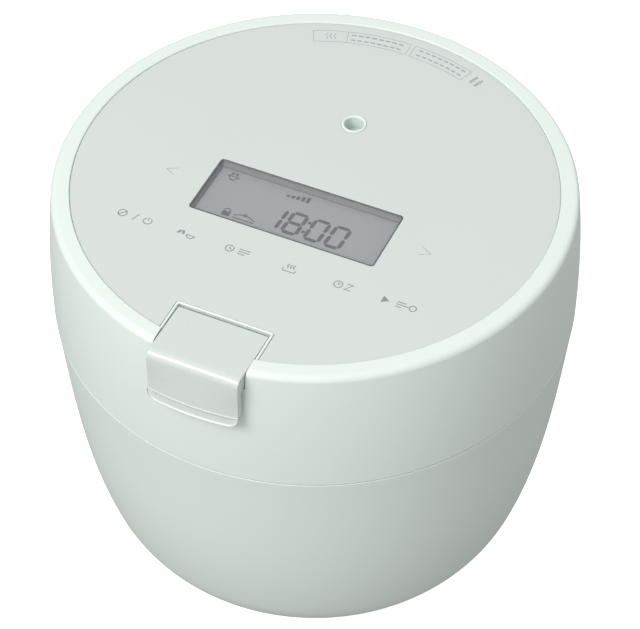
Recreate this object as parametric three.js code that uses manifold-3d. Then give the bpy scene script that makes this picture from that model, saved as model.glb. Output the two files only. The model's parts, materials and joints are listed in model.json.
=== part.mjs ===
// Countertop rice cooker with a hinged lid, a lever latch and induction heating.
// Millimetres, +Z up, front towards -Y, origin on the table under the middle of the body.
import * as THREE from 'three';
import { mergeVertices } from 'three/addons/utils/BufferGeometryUtils.js';
import Module from 'manifold-3d';

const wasm = await Module();
wasm.setup();

// ---------------------------------------------------------------- driving dimensions
const ROUND = 48; // segments of the big outer rounds
const INNER = 24; // segments of the rounds inside

const RIM_TOP = 200;
const PANEL_TOP = 199.2;
const DECK_TOP = 198.2;
const DECK_UNDER = 195.6;
const LID_EDGE = 136.2;
const BODY_EDGE = 135.5;
const SEAM_RADIUS = 118.1;
const SHOULDER = 115.3; // lid radius just under the top corner round
const CORNER_ROUND = 3.2;
const PANEL_RADIUS = 106.3;
const RIM_INNER = 106.8;
const BODY_WALL = 2.6;
const LID_WALL = 2.4;

const BASE_Z = 3.4; // underside of the body, on top of the feet
const FLOOR_Z = 5.4; // top of the base cover
const BASE_RADIUS = 81.6;
const FOOT_RADIUS = 7;
const FOOT_XY = 50;

const HINGE_Y = 119.8;
const HINGE_Z = 132;
const HINGE_BARREL = 4.2;

const LEVER_HALF = 20.6;
const LEVER_REAR = -90.1;
const LEVER_PIVOT_Y = -94.5;
const LEVER_PIVOT_Z = 195.3;
const RECESS_HALF = 21.4;
const RECESS_REAR = -89;
const TRAY_FLOOR = 190.5;
const HOOK_Y = -105.5;
const HOOK_Z = 155;

const WINDOW = { half: 43.7, front: -36.3, rear: -2.8, round: 1.7 };
const KEY_PITCH = 24.5;
const KEY_ROW_Y = -51.5;
const ARROW_X = 60.5;
const ARROW_Y = -19;
const KEY_RADIUS = 2.8;
const BOARD_TOP = 189.6;

const VENT_Y = 41.5;
const STEAM_HOLES = 8;
const COVER_UNDER = 138;
const COVER_TOP = 140;
const VALVE_Z = 142.6;
const PLUNGER_Z = 147;

const POT_RADIUS = 92;
const POT_FLOOR = 39;
const WELL_RADIUS = 95;
const WELL_FLOOR = 35.3;
const SEAT_Z = 130; // the pot flange sits here
const FRAME_TOP = 135.3;
const CARRIER_Z = 27;
const COIL_Z = 29.2;

// ---------------------------------------------------------------- finishes
const mint = { color: 0xd7e0dd, roughness: 0.45 };
const film = { color: 0xd9e1de, roughness: 0.35 };
const paleGrey = { color: 0xc9cfcd, roughness: 0.5 };
const darkPlastic = { color: 0x3b3f42, roughness: 0.6 };
const clear = { color: 0xf2f6f6, roughness: 0.05, transparent: true, opacity: 0.35 };
const display = { color: 0xa3a6ab, roughness: 0.3 };
const rubber = { color: 0xb9bdbb, roughness: 0.9 };
const darkRubber = { color: 0x2b2b2b, roughness: 0.9 };
const steel = { color: 0xb8bbbd, roughness: 0.3, metalness: 1 };
const potCoat = { color: 0x2f3032, roughness: 0.4, metalness: 0.5 };
const aluminium = { color: 0xcfd1d3, roughness: 0.4, metalness: 1 };
const copper = { color: 0xb8673a, roughness: 0.35, metalness: 1 };
const ferrite = { color: 0x4a4644, roughness: 0.8 };
const boardGreen = { color: 0x2f6b45, roughness: 0.6 };

// ---------------------------------------------------------------- helpers
const cooker = new THREE.Group();
cooker.name = 'rice_cooker';

function toSolid(geometry) {
  const bare = geometry.clone();
  bare.deleteAttribute('normal');
  bare.deleteAttribute('uv');
  const merged = mergeVertices(bare, 1e-4);
  const corners = merged.index.array;
  const triangles = [];
  for (let i = 0; i < corners.length; i += 3) {
    const [a, b, c] = corners.slice(i, i + 3);
    if (a !== b && b !== c && c !== a) triangles.push(a, b, c);
  }
  return new wasm.Manifold(new wasm.Mesh({
    numProp: 3,
    vertProperties: new Float32Array(merged.getAttribute('position').array),
    triVerts: new Uint32Array(triangles),
  }));
}

function toGeometry(solid) {
  const mesh = solid.getMesh();
  const geometry = new THREE.BufferGeometry();
  geometry.setAttribute('position', new THREE.BufferAttribute(new Float32Array(mesh.vertProperties), 3));
  geometry.setIndex(Array.from(mesh.triVerts));
  geometry.computeVertexNormals();
  return geometry;
}

function node(name, solid, finish, position = [0, 0, 0]) {
  const mesh = new THREE.Mesh(toGeometry(solid), new THREE.MeshStandardMaterial(finish));
  mesh.name = name;
  mesh.position.set(...position);
  cooker.add(mesh);
}

function join(...solids) {
  return solids.reduce((all, next) => all.add(next));
}

function cut(solid, ...tools) {
  return tools.reduce((rest, tool) => rest.subtract(tool), solid);
}

function block(x0, x1, y0, y1, z0, z1) {
  const box = new THREE.BoxGeometry(x1 - x0, y1 - y0, z1 - z0);
  box.translate((x0 + x1) / 2, (y0 + y1) / 2, (z0 + z1) / 2);
  return toSolid(box);
}

// A closed (radius, height) outline, anticlockwise, turned about Z.
function turned(outline, segments = INNER) {
  const points = outline.map(([r, z]) => new THREE.Vector2(r, z));
  points.push(points[0].clone());
  const geometry = new THREE.LatheGeometry(points, segments);
  geometry.rotateX(Math.PI / 2);
  return toSolid(geometry);
}

function rodZ(radius, x, y, z0, z1, segments = 16) {
  const rod = new THREE.CylinderGeometry(radius, radius, z1 - z0, segments);
  rod.rotateX(Math.PI / 2);
  rod.translate(x, y, (z0 + z1) / 2);
  return toSolid(rod);
}

function rodX(radius, x0, x1, y, z, segments = 16) {
  const rod = new THREE.CylinderGeometry(radius, radius, x1 - x0, segments);
  rod.rotateZ(Math.PI / 2);
  rod.translate((x0 + x1) / 2, y, z);
  return toSolid(rod);
}

// A slab with rounded plan corners.
function slab(x0, x1, y0, y1, round, z0, z1) {
  const plan = new THREE.Shape();
  plan.moveTo(x0 + round, y0);
  plan.absarc(x1 - round, y0 + round, round, -Math.PI / 2, 0);
  plan.absarc(x1 - round, y1 - round, round, 0, Math.PI / 2);
  plan.absarc(x0 + round, y1 - round, round, Math.PI / 2, Math.PI);
  plan.absarc(x0 + round, y0 + round, round, Math.PI, 1.5 * Math.PI);
  const body = new THREE.ExtrudeGeometry(plan, { depth: z1 - z0, bevelEnabled: false, curveSegments: 3 });
  body.translate(0, 0, z0);
  return toSolid(body);
}

// A (y, z) outline pushed from x0 to x1.
function sideways(outline, x0, x1) {
  const shape = new THREE.Shape(outline.map(([y, z]) => new THREE.Vector2(y, z)));
  const body = new THREE.ExtrudeGeometry(shape, { depth: x1 - x0, bevelEnabled: false });
  body.rotateX(Math.PI / 2);
  body.rotateZ(Math.PI / 2);
  body.translate(x0, 0, 0);
  return toSolid(body);
}

function arc(r, z, radius, from, to, steps) {
  const points = [];
  for (let i = 0; i <= steps; i += 1) {
    const angle = THREE.MathUtils.degToRad(from + ((to - from) * i) / steps);
    points.push([r + radius * Math.cos(angle), z + radius * Math.sin(angle)]);
  }
  return points;
}

function bend(start, control1, control2, end, steps) {
  const ends = [start, control1, control2, end].map(([r, z]) => new THREE.Vector2(r, z));
  return new THREE.CubicBezierCurve(...ends).getPoints(steps).map((p) => [p.x, p.y]);
}

// The outline moved inwards (to the left of its direction) by the wall thickness.
function inset(outline, wall) {
  return outline.map(([r, z], i) => {
    const [r0, z0] = outline[Math.max(i - 1, 0)];
    const [r1, z1] = outline[Math.min(i + 1, outline.length - 1)];
    const length = Math.hypot(r1 - r0, z1 - z0);
    return [r - (wall * (z1 - z0)) / length, z + (wall * (r1 - r0)) / length];
  });
}

class Helix extends THREE.Curve {
  constructor(radius, length, turns) {
    super();
    this.radius = radius;
    this.length = length;
    this.turns = turns;
  }

  getPoint(t) {
    const angle = 2 * Math.PI * this.turns * t;
    return new THREE.Vector3(this.radius * Math.cos(angle), this.radius * Math.sin(angle), this.length * t);
  }
}

function spring(radius, wire, length, turns) {
  const section = new THREE.Shape();
  section.absarc(0, 0, wire, 0, 2 * Math.PI);
  const path = new Helix(radius, length, turns);
  return new THREE.ExtrudeGeometry(section, { extrudePath: path, steps: turns * 10, curveSegments: 3 });
}

// ---------------------------------------------------------------- outer outlines
const lidSide = bend([SEAM_RADIUS, LID_EDGE], [118.4, 157], [117.6, 178], [SHOULDER, RIM_TOP - CORNER_ROUND], 5);
const lidCorner = arc(SHOULDER - CORNER_ROUND, RIM_TOP - CORNER_ROUND, CORNER_ROUND, 0, 90, 3).slice(1);
const bodyFoot = bend([BASE_RADIUS + 1, BASE_Z], [90, BASE_Z], [98.6, 12.7], [102.8, 27], 4);
const bodySide = bend([102.8, 27], [113.5, 64], [114.9, 103], [SEAM_RADIUS, BODY_EDGE], 5).slice(1);
const bodyOutline = [...bodyFoot, ...bodySide];
const lidSolid = turned([[0, LID_EDGE], ...lidSide, ...lidCorner, [0, RIM_TOP]], ROUND);
const bodySolid = turned([[0, BASE_Z], ...bodyOutline, [0, BODY_EDGE]], ROUND);

const keySpots = [];
for (let i = 0; i < 6; i += 1) keySpots.push([`key_${i + 1}`, (i - 2.5) * KEY_PITCH, KEY_ROW_Y]);
keySpots.push(['key_back', -ARROW_X, ARROW_Y], ['key_forward', ARROW_X, ARROW_Y]);

// ---------------------------------------------------------------- base
function bodyShell() {
  const inner = inset(bodyOutline, BODY_WALL).reverse();
  inner[0][1] = BODY_EDGE;
  const wall = turned([...bodyOutline, ...inner], ROUND);
  const hingeNotch = block(-34.3, 34.3, 100, 130, 117.5, 140);
  const inletHole = block(-18.3, 18.3, 95, 125, 75.7, 96.3);
  node('body_shell', cut(wall, hingeNotch, inletHole), mint);
}

function baseCover() {
  let cover = turned([[0, BASE_Z], [BASE_RADIUS, BASE_Z], [BASE_RADIUS, FLOOR_Z], [0, FLOOR_Z]]);
  for (const y of [-20, -10, 0, 10, 20]) {
    cover = cover.subtract(block(-62, -22, y - 2, y + 2, 0, 10));
  }
  for (const x of [14, 68]) {
    for (const y of [-24, 24]) cover = cover.add(rodZ(3, x, y, 5, 10, 12));
  }
  node('base_cover', cover, darkPlastic);
}

function feet() {
  const foot = turned([[0, 0], [FOOT_RADIUS - 0.8, 0], [FOOT_RADIUS, 0.8], [FOOT_RADIUS, BASE_Z], [0, BASE_Z]], 14);
  let number = 1;
  for (const y of [-FOOT_XY, FOOT_XY]) {
    for (const x of [-FOOT_XY, FOOT_XY]) {
      node(`foot_${number}`, foot, darkRubber, [x, y, 0]);
      number += 1;
    }
  }
}

function upperFrame() {
  const ring = turned([
    [WELL_RADIUS + 0.6, 126.5], [100.6, 126.5], [100.6, 132.8], [114.5, 132.8], [114.5, FRAME_TOP],
    [99.2, FRAME_TOP], [98.4, 134.5], [98.4, SEAT_Z - 1], [WELL_RADIUS + 0.6, SEAT_Z - 1],
  ], ROUND);
  const hookSlot = block(-8, 8, -112.5, -101.2, 130, 140);
  const hingeNotch = block(-34.4, 34.4, 109, 120, 120, 140);
  node('upper_frame', cut(ring, hookSlot, hingeNotch), mint);
  node('catch_plate', block(-11, 11, -113.8, -109.4, 131.2, 132.8), steel);
}

function pots() {
  const wellCorner = WELL_RADIUS - 32;
  node('pot_well', turned([
    [15, WELL_FLOOR], ...arc(wellCorner, WELL_FLOOR + 32, 32, -90, 0, 4), [WELL_RADIUS, SEAT_Z - 1],
    [98, SEAT_Z - 1], [98, SEAT_Z], [WELL_RADIUS - 1, SEAT_Z],
    ...arc(wellCorner, WELL_FLOOR + 32, 31, 0, -90, 4), [15, WELL_FLOOR + 1],
  ]), steel);
  const potCorner = POT_RADIUS - 30;
  node('inner_pot', turned([
    [0, POT_FLOOR], ...arc(potCorner, POT_FLOOR + 30, 30, -90, 0, 5), [POT_RADIUS, SEAT_Z],
    [97.6, SEAT_Z], [97.6, SEAT_Z + 1.4], [POT_RADIUS - 1.8, SEAT_Z + 1.4],
    ...arc(potCorner, POT_FLOOR + 30, 28.2, 0, -90, 5), [0, POT_FLOOR + 1.8],
  ], 36), potCoat);
}

function heating() {
  let carrier = turned([[4.6, CARRIER_Z], [88, CARRIER_Z], [88, COIL_Z], [4.6, COIL_Z]]);
  for (const x of [-55, 55]) {
    for (const y of [-55, 55]) carrier = carrier.add(rodZ(4, x, y, FLOOR_Z, CARRIER_Z + 1, 12));
  }
  node('coil_carrier', carrier, darkPlastic);

  const crest = [];
  for (let r = 60; r > 30; r -= 10) crest.push([r, COIL_Z + 4.2], [r - 5, COIL_Z + 3]);
  node('bottom_coil', turned([[25, COIL_Z], [62, COIL_Z], ...crest, [25, COIL_Z + 3]]), copper);
  node('side_coil', turned([[96.2, 44], [100.2, 44], [100.2, 66], [96.2, 66]]), copper);

  let yoke = cut(rodZ(28, 0, 0, 24.5, CARRIER_Z, 24), rodZ(20, 0, 0, 20, 30, 24));
  yoke = join(yoke, block(-82, -24, -5, 5, 24.5, CARRIER_Z), block(24, 82, -5, 5, 24.5, CARRIER_Z));
  yoke = join(yoke, block(-5, 5, -82, -24, 24.5, CARRIER_Z), block(-5, 5, 24, 82, 24.5, CARRIER_Z));
  node('ferrite_yoke', yoke, ferrite);

  node('temp_sensor', turned([[0, 20], [4, 20], [4, 34], [13, 34], [13, 37.9], [12.2, 38.7], [0, 38.7]], 24), aluminium);
  node('sensor_spring', toSolid(spring(8.5, 0.6, 3.2, 3)), steel, [0, 0, 30]);
}

function electronics() {
  const capacitor = rodZ(8, 22, -16, 11, 22, 16);
  const choke = block(13, 34, 4, 24, 11, 23);
  const terminal = block(38, 56, -29, -25.5, 11, 18);
  node('power_board', join(block(8, 74, -30, 30, 10, 11.6), capacitor, choke, terminal), boardGreen);

  let sink = block(42, 70, -22, 22, 11.6, 14);
  for (let x = 42; x < 70; x += 6.6) sink = sink.add(block(x, x + 1.6, -22, 22, 13.5, 22.5));
  node('heat_sink', sink, aluminium);

  let housing = cut(block(-72, -12, -30, 30, FLOOR_Z, 19.4), rodZ(27.5, -42, 0, 0, 30, 28));
  housing = join(housing, rodZ(8, -42, 0, FLOOR_Z, 8, 16), block(-71, -13, -2, 2, FLOOR_Z, 7.4));
  node('fan_housing', housing, darkPlastic);

  let rotor = rodZ(10, 0, 0, 0, 10, 18);
  for (let i = 0; i < 7; i += 1) {
    const blade = new THREE.BoxGeometry(17, 1.4, 9);
    blade.rotateX(0.6);
    blade.translate(17, 0, 5);
    blade.rotateZ((2 * Math.PI * i) / 7);
    rotor = rotor.add(toSolid(blade));
  }
  node('fan_rotor', rotor, darkPlastic, [-42, 0, 8.5]);
}

function powerInlet() {
  const socket = slab(-14, 14, 79.5, 92.5, 3, 0, 25).rotate([90, 0, 0]).translate([0, 129, 0]);
  const insert = block(-18, 18, 97, 125, 76, 96).intersect(bodySolid);
  node('power_inlet', cut(insert, socket), darkPlastic);
  const spots = [[-7, 87.2], [7, 87.2], [0, 83.6]];
  spots.forEach(([x, z], i) => {
    node(`inlet_blade_${i + 1}`, block(-1, 1, 104, 111.5, -2.2, 2.2), steel, [x, 0, z]);
  });
}

function hinge() {
  const wedge = [
    [109.3, 117.8], [116.8, 117.8], [HINGE_Y + 3.6, 129.8], [HINGE_Y, FRAME_TOP], [109.3, FRAME_TOP],
  ];
  const fairing = sideways(wedge, -34, 34);
  const barrels = rodX(HINGE_BARREL, -34, 34, HINGE_Y, HINGE_Z);
  const knuckleRoom = rodX(HINGE_BARREL + 0.6, -24.7, 24.7, HINGE_Y, HINGE_Z, 24);
  const bore = rodX(2.1, -40, 40, HINGE_Y, HINGE_Z, 16);
  node('hinge_housing', cut(join(fairing, barrels), knuckleRoom, bore), mint);
  node('hinge_pin', rodX(2, -34, 34, HINGE_Y, HINGE_Z, 16), steel);

  const coil = spring(3.05, 0.45, 14, 6);
  coil.rotateY(Math.PI / 2);
  node('hinge_spring', toSolid(coil), steel, [-7, HINGE_Y, HINGE_Z]);

  const side = [
    [110, 136.4], [116.5, 136.4], [116.5, HINGE_Z], [122.9, HINGE_Z], [122.9, 137.6], [120.4, 141.2], [110, 141.2],
  ];
  let arm = join(block(-24.2, 24.2, 97, 111.5, COVER_TOP, 142.5), block(-24.2, 24.2, 110, 116.5, 136.4, 141.2));
  for (const x of [-24.2, 8.6]) {
    arm = join(arm, sideways(side, x, x + 15.6), rodX(HINGE_BARREL, x, x + 15.6, HINGE_Y, HINGE_Z));
  }
  node('hinge_arm', cut(arm, bore), steel);
}

// ---------------------------------------------------------------- lid
function lidShell() {
  const outer = [...lidSide, ...lidCorner];
  const inner = inset(lidSide, LID_WALL).reverse();
  inner[inner.length - 1][1] = LID_EDGE;
  const cap = turned([
    ...outer, [RIM_INNER + 0.5, RIM_TOP], [RIM_INNER, RIM_TOP - 0.4], [RIM_INNER, DECK_TOP],
    [0, DECK_TOP], [0, DECK_UNDER], [inner[0][0] - 0.6, DECK_UNDER], ...inner.slice(1),
  ], ROUND);
  const tray = block(-23.4, 23.4, -130, -87, TRAY_FLOOR - 2, DECK_TOP).intersect(lidSolid);
  const border = block(-22.3, 22.3, -109, -88.1, DECK_TOP - 1, 199.5);
  let shell = join(cap, tray, border);
  for (const x of [-66, 66]) {
    for (const y of [-59, 1]) shell = shell.add(rodZ(2.5, x, y, BOARD_TOP, DECK_UNDER + 1, 12));
  }
  // a pocket with a small drain hole closes the deck below the steam cup
  shell = shell.add(rodZ(7.2, 0, VENT_Y, 188.7, DECK_UNDER + 1, 28));
  shell = cut(
    shell,
    block(-RECESS_HALF, RECESS_HALF, -130, RECESS_REAR, TRAY_FLOOR, 210),
    block(-7.5, 7.5, -111, -98, TRAY_FLOOR - 3, TRAY_FLOOR + 1),
    block(-46.8, 46.8, -39.5, 0.4, 190, 205),
    rodZ(5.35, 0, VENT_Y, 190.5, 205, 24),
    rodZ(1.6, 0, VENT_Y - 2.2, 185, 191, 12),
    block(-24.8, 24.8, 100, 125, 130, 141.5),
    ...keySpots.map(([, x, y]) => rodZ(KEY_RADIUS + 0.5, x, y, 190, 205, 10)),
  );
  for (const x of [-RECESS_HALF - 0.5, RECESS_HALF - 3]) {
    const cradle = block(x, x + 3.5, -96.5, -92.5, TRAY_FLOOR - 0.5, LEVER_PIVOT_Z);
    shell = shell.add(cradle);
  }
  node('lid_shell', cut(shell, rodX(1.1, -21.3, 21.3, LEVER_PIVOT_Y, LEVER_PIVOT_Z, 12)), mint);
}

function topPanel() {
  const { half, front, rear, round } = WINDOW;
  const disc = turned([[0, DECK_TOP], [PANEL_RADIUS, DECK_TOP], [PANEL_RADIUS, PANEL_TOP], [0, PANEL_TOP]], ROUND);
  const panel = cut(
    disc,
    slab(-half, half, front, rear, round, 190, 205),
    rodZ(5.95, 0, VENT_Y, 190, 205, 28),
    block(-22.6, 22.6, -130, -87.8, 190, 205),
  );
  node('top_panel', panel, film);
  node('display_window', slab(-half + 0.2, half - 0.2, front + 0.2, rear - 0.2, round, DECK_TOP, PANEL_TOP), clear);
  const bezel = cut(
    slab(-46.5, 46.5, -39.2, 0.1, 2, 196.3, DECK_TOP),
    slab(-half + 0.6, half - 0.6, front + 0.6, rear - 0.6, round, 190, 205),
  );
  node('display_bezel', bezel, darkPlastic);
  node('lcd_module', block(-46, 46, -38.7, -0.4, BOARD_TOP, 196.2), display);
}

function controls() {
  let board = block(-70, 70, -62, 4, BOARD_TOP - 1.6, BOARD_TOP);
  const key = turned([[0, 192.9], [KEY_RADIUS, 192.9], [KEY_RADIUS, 198.1], [0, 198.1]], 12);
  for (const [name, x, y] of keySpots) {
    board = board.add(rodZ(2.4, x, y, BOARD_TOP - 1, 192.6, 12));
    node(name, key, paleGrey, [x, y, 0]);
  }
  node('control_board', board, boardGreen);
}

function steamPath() {
  const at = [0, VENT_Y, 0];
  const cup = turned([
    [0, 190.6], [5.2, 190.6], [5.2, DECK_TOP], [5.65, DECK_TOP], [5.65, 199.4], [5.45, 199.6],
    [4.7, 199.6], [4.5, 199.4], [4.5, 192.1], [0, 192.1],
  ], 24);
  node('vent_cup', cut(cup, rodZ(1.4, 0, -2.2, 185, 195, 12)), paleGrey, at);
  node('steam_tube', turned([[5, 152.3], [6.4, 152.3], [6.4, 188.6], [5, 188.6]], 18), paleGrey, at);
  node('steam_gasket', turned([[5.6, 151.3], [8.8, 151.3], [8.8, 152.3], [5.6, 152.3]], 18), rubber, at);
  const cage = turned([
    [3, 136.8], [11, 136.8], [11, COVER_TOP], [12.5, COVER_TOP], [12.5, 141.5], [9.6, 141.5], [9.6, 151.3],
    [5, 151.3], [5, 149.8], [8, 149.8], [8, 139.2], [6.5, 138.2], [3, 138.2],
  ], 20);
  node('valve_cage', cut(cage, rodX(2.2, 5, 14, 0, PLUNGER_Z, 12)), paleGrey, at);
  const ball = new THREE.SphereGeometry(4.2, 16, 10);
  node('pressure_ball', toSolid(ball), steel, [0, VENT_Y, VALVE_Z]);
  const coilBody = block(13, 33, -8, 8, COVER_TOP, 155);
  node('solenoid', cut(coilBody, rodX(2.2, 10, 31.5, 0, PLUNGER_Z, 12)), steel, at);
  const plunger = join(rodX(1.8, 6, 28, 0, PLUNGER_Z, 12), block(4.7, 6.3, -2, 2, 141, 148.7));
  node('solenoid_plunger', plunger, steel, at);
}

function lidUnderside() {
  const disc = turned([
    [0, COVER_UNDER], [100, COVER_UNDER], [101.2, 136.4], [115.3, 136.4], [115.3, COVER_TOP], [0, COVER_TOP],
  ], ROUND);
  let cover = cut(
    disc,
    rodZ(11.4, 0, VENT_Y, 130, 145, 28),
    rodZ(4.3, -45, -30, 130, 145),
    block(-6.2, 6.2, -111.5, -100, 130, 145),
    block(-24.8, 24.8, 109.5, 125, 130, 145),
  );
  for (const x of [-8.5, 6.5]) {
    cover = cover.add(block(x, x + 2, HOOK_Y - 3, HOOK_Y + 3, COVER_TOP - 1, HOOK_Z + 3));
  }
  node('lid_inner_cover', cut(cover, rodX(1.3, -12, 12, HOOK_Y, HOOK_Z, 12)), paleGrey);
  node('lid_heater', turned([[62, COVER_TOP], [82, COVER_TOP], [82, 141.2], [62, 141.2]]), aluminium);
  const sensor = turned([[0, 136.6], [4, 136.6], [4, COVER_TOP], [6, COVER_TOP], [6, 144], [0, 144]], 20);
  node('lid_sensor', sensor, steel, [-45, -30, 0]);

  let plate = turned([[0, 135.2], [92.5, 135.2], [92.5, 136.2], [0, 136.2]], 36);
  for (let i = 0; i < STEAM_HOLES; i++) {
    const turn = (2 * Math.PI * i) / STEAM_HOLES;
    plate = plate.subtract(rodZ(1.2, 4.5 * Math.cos(turn), VENT_Y + 4.5 * Math.sin(turn), 130, 140, 10));
  }
  for (const [x, y] of [[0, -70], [-62, 36], [62, 36]]) plate = plate.add(rodZ(3, x, y, 135.8, COVER_UNDER, 12));
  node('inner_lid_plate', plate, aluminium);
  node('inner_lid_gasket', turned([
    [93.6, 131.9], [96.4, 131.9], [97.2, 132.7], [97.2, COVER_UNDER], [92.8, COVER_UNDER], [92.8, 132.7],
  ], 36), rubber);
}

// ---------------------------------------------------------------- latch
function latch() {
  const front = turned([
    [115.6, 199.4], [115.6, 197.4], [116.1, 195.2], [118.3, 178.9], [119.6, 175], [122.9, 173.6], [124, 174.4],
    [122, 178.2], [121.3, 178.5], [119.3, 196.4], [118.4, 198.4], [116.6, 199.6],
  ], 120).intersect(block(-LEVER_HALF, LEVER_HALF, -130, -100, 170, 205));
  const top = block(-LEVER_HALF, LEVER_HALF, -118, LEVER_REAR, 197.3, 199.3).intersect(rodZ(116.4, 0, 0, 190, 205, 120));
  let lever = join(front, top);
  for (const x of [-17, 14]) {
    lever = lever.add(block(x, x + 3, LEVER_PIVOT_Y - 2.5, LEVER_PIVOT_Y + 2.5, LEVER_PIVOT_Z - 2, 198));
  }
  lever = lever.add(block(-6, 6, -103.5, -101, 183, 198));
  node('latch_lever', cut(lever, rodX(1.2, -18, 18, LEVER_PIVOT_Y, LEVER_PIVOT_Z, 12)), mint);
  node('lever_pin', rodX(1, -21.2, 21.2, LEVER_PIVOT_Y, LEVER_PIVOT_Z, 12), steel);
  const coil = spring(1.55, 0.3, 18, 6);
  coil.rotateY(Math.PI / 2);
  node('lever_spring', toSolid(coil), steel, [-9, LEVER_PIVOT_Y, LEVER_PIVOT_Z]);

  const side = [
    [HOOK_Y - 1.5, 191.5], [HOOK_Y - 1.5, 131], [HOOK_Y - 3.6, 130.9], [HOOK_Y - 3.6, 129.9],
    [HOOK_Y - 1.8, 128.2], [HOOK_Y + 1.5, 128.2], [HOOK_Y + 1.5, 191.5],
  ];
  const hook = join(sideways(side, -5, 5), rodX(3, -5, 5, HOOK_Y, HOOK_Z));
  node('latch_hook', cut(hook, rodX(1.35, -6, 6, HOOK_Y, HOOK_Z, 12)), steel);
  node('hook_pin', rodX(1.2, -8.5, 8.5, HOOK_Y, HOOK_Z, 12), steel);
}

bodyShell();
baseCover();
feet();
upperFrame();
pots();
heating();
electronics();
powerInlet();
hinge();
lidShell();
topPanel();
controls();
steamPath();
lidUnderside();
latch();

export default cooker;
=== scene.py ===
"""Looks of the rice cooker: smooth shells, panel print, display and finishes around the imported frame."""
import json
import math

import bmesh
import bpy
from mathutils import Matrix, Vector


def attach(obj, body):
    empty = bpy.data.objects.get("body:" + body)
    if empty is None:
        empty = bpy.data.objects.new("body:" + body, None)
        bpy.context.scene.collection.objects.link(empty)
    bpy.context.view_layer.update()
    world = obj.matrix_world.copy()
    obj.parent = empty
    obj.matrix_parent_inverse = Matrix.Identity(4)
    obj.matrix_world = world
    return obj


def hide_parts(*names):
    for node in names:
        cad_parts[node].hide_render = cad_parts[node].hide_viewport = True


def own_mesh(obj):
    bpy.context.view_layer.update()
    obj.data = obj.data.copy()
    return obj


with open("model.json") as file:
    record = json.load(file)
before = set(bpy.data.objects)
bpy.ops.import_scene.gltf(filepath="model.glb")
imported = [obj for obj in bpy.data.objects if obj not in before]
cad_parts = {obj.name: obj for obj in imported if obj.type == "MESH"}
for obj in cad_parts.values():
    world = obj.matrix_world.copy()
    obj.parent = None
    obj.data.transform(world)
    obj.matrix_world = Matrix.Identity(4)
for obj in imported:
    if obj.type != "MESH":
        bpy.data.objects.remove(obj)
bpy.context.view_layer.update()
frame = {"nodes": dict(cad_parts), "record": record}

MM = 0.001
SHELL_ROUND = 256  # segments of the two shells
ROUND = 192  # segments of the other big rounds
FINE = 72  # segments of small rounds
RING_STEPS = 24  # segments of a printed circle

PLASTIC_IOR = 1.5
GLOSS_SWING = 0.04  # how far the roughness of a finish wanders
GRAIN_STRENGTH = 0.5
SOFT_ANGLE = 35  # degrees above which soften() rounds an edge

# Levels, radii and places in millimetres, as in the frame.
PANEL_TOP = 199.2
DECK_TOP = 198.2
DECK_UNDER = 195.6
LID_EDGE = 136.2
BODY_EDGE = 135.75
SEAM_RADIUS = 118.1
LID_WALL = 2.4
BODY_WALL = 2.6
PANEL_RADIUS = 106.8
RECESS_HALF = 21.2
RECESS_REAR = -89.0
TRAY_FLOOR = 190.5
TRAY_HALF = 23.4
TRAY_FRONT = 114.4  # radius of the tray's front
VENT_Y = 41.5
VENT_DRAIN_Y = VENT_Y - 2.2
LCD_TOP = 196.2
PRINT_LEVELS = (0.006, 0.03)  # underside and top of a mark above what it lies on
KEY_PITCH = 24.5
KEY_XS = [(i - 2.5) * KEY_PITCH for i in range(6)]
KEY_Y = -51.5
ARROW_X = 60.5
ARROW_Y = -19.0


# ------------------------------------------------------------------ outlines
def bezier(p0, p1, p2, p3, steps):
    points = []
    for i in range(steps + 1):
        t = i / steps
        u = 1 - t
        w = (u ** 3, 3 * u * u * t, 3 * u * t * t, t ** 3)
        points.append(tuple(sum(k * p[a] for k, p in zip(w, (p0, p1, p2, p3))) for a in (0, 1)))
    return points


def arc(cx, cy, radius, start, end, steps):
    turn = [math.radians(start + (end - start) * i / steps) for i in range(steps + 1)]
    return [(cx + radius * math.cos(a), cy + radius * math.sin(a)) for a in turn]


def rounded(corners, steps=6):
    """A closed polygon of (x, y, radius) corners with each corner rounded."""
    points = []
    count = len(corners)
    for i, (x, y, radius) in enumerate(corners):
        here = Vector((x, y))
        back = (Vector(corners[i - 1][:2]) - here).normalized()
        ahead = (Vector(corners[(i + 1) % count][:2]) - here).normalized()
        if radius <= 0:
            points.append((x, y))
            continue
        half = back.angle(ahead) / 2
        centre = here + (back + ahead).normalized() * (radius / math.sin(half))
        first = here + back * (radius / math.tan(half)) - centre
        last = here + ahead * (radius / math.tan(half)) - centre
        swing = first.angle_signed(last)
        for k in range(steps + 1):
            a = -swing * k / steps
            spoke = Vector((
                first.x * math.cos(a) - first.y * math.sin(a),
                first.x * math.sin(a) + first.y * math.cos(a),
            ))
            points.append(tuple(centre + spoke))
    return points


def box_outline(x0, x1, y0, y1, radius, steps=6):
    return rounded([(x0, y0, radius), (x1, y0, radius), (x1, y1, radius), (x0, y1, radius)], steps)


# ------------------------------------------------------------------ materials
def new_material(name, base, roughness, metallic=0.0):
    material = bpy.data.materials.new(name)
    material.use_nodes = True
    shader = material.node_tree.nodes["Principled BSDF"]
    shader.inputs["Base Color"].default_value = (*base, 1)
    shader.inputs["Roughness"].default_value = roughness
    shader.inputs["Metallic"].default_value = metallic
    shader.inputs["IOR"].default_value = PLASTIC_IOR
    return material, shader


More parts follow.
